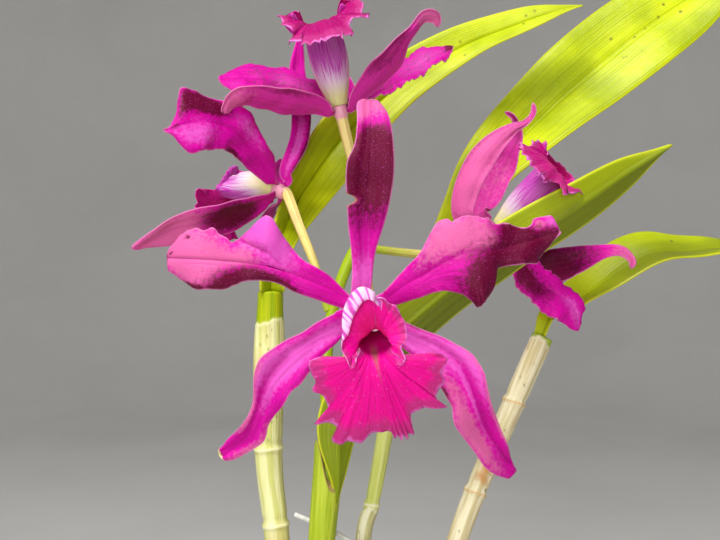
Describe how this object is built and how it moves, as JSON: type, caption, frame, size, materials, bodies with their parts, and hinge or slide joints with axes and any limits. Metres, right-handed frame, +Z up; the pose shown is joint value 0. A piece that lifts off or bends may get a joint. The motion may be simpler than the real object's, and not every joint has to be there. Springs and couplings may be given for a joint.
{
  "type": "cattleya orchid",
  "caption": "Cattleya orchid in a plain clay pot: ringed canes on a creeping rhizome, leathery leaves and a stalk of open magenta blooms with ruffled trumpet lips.",
  "frame": {"origin": "centre of the pot's flat underside, on the surface that the pot stands on", "axes": "+Z up along the pot's axis; -Y towards the viewer whom the front bloom faces; +X to that viewer's right"},
  "size_m": [0.2732, 0.1802, 0.4478],
  "materials": {
    "clay": "unglazed terracotta, matte",
    "bark": "rough bark chips",
    "root": "silvery velvety root skin",
    "cane": "waxy green under pale papery sheaths",
    "leaf": "smooth leathery leaf, soft gloss",
    "stalk": "smooth, soft gloss",
    "wire": "white plastic coating",
    "tepal": "matte petal skin with fine veins",
    "lip": "velvety, with darker veins and a pale ruffled margin",
    "column": "waxy, pale pink"
  },
  "bodies": {
    "root": {"bark_mix": "bark", "bloom_front_column": "column", "bloom_front_dorsal_sepal": "tepal", "bloom_front_lip": "lip", "bloom_front_ovary": "stalk", "bloom_front_petal_left": "tepal", "bloom_front_petal_right": "tepal", "bloom_front_sepal_left": "tepal", "bloom_front_sepal_right": "tepal", "bloom_left_column": "column", "bloom_left_dorsal_sepal": "tepal", "bloom_left_lip": "lip", "bloom_left_ovary": "stalk", "bloom_left_petal_left": "tepal", "bloom_left_petal_right": "tepal", "bloom_left_sepal_left": "tepal", "bloom_left_sepal_right": "tepal", "bloom_right_column": "column", "bloom_right_dorsal_sepal": "tepal", "bloom_right_lip": "lip", "bloom_right_ovary": "stalk", "bloom_right_petal_left": "tepal", "bloom_right_petal_right": "tepal", "bloom_right_sepal_left": "tepal", "bloom_right_sepal_right": "tepal", "bloom_top_column": "column", "bloom_top_dorsal_sepal": "tepal", "bloom_top_lip": "lip", "bloom_top_ovary": "stalk", "bloom_top_petal_left": "tepal", "bloom_top_petal_right": "tepal", "bloom_top_sepal_left": "tepal", "bloom_top_sepal_right": "tepal", "cane_front": "cane", "cane_left": "cane", "cane_rear": "cane", "cane_right": "cane", "flower_sheath": "leaf", "flower_stalk": "stalk", "leaf_front": "leaf", "leaf_left": "leaf", "leaf_rear": "leaf", "leaf_right": "leaf", "pot": "clay", "rhizome": "root", "support_wire": "wire"}
  },
  "joints": []
}
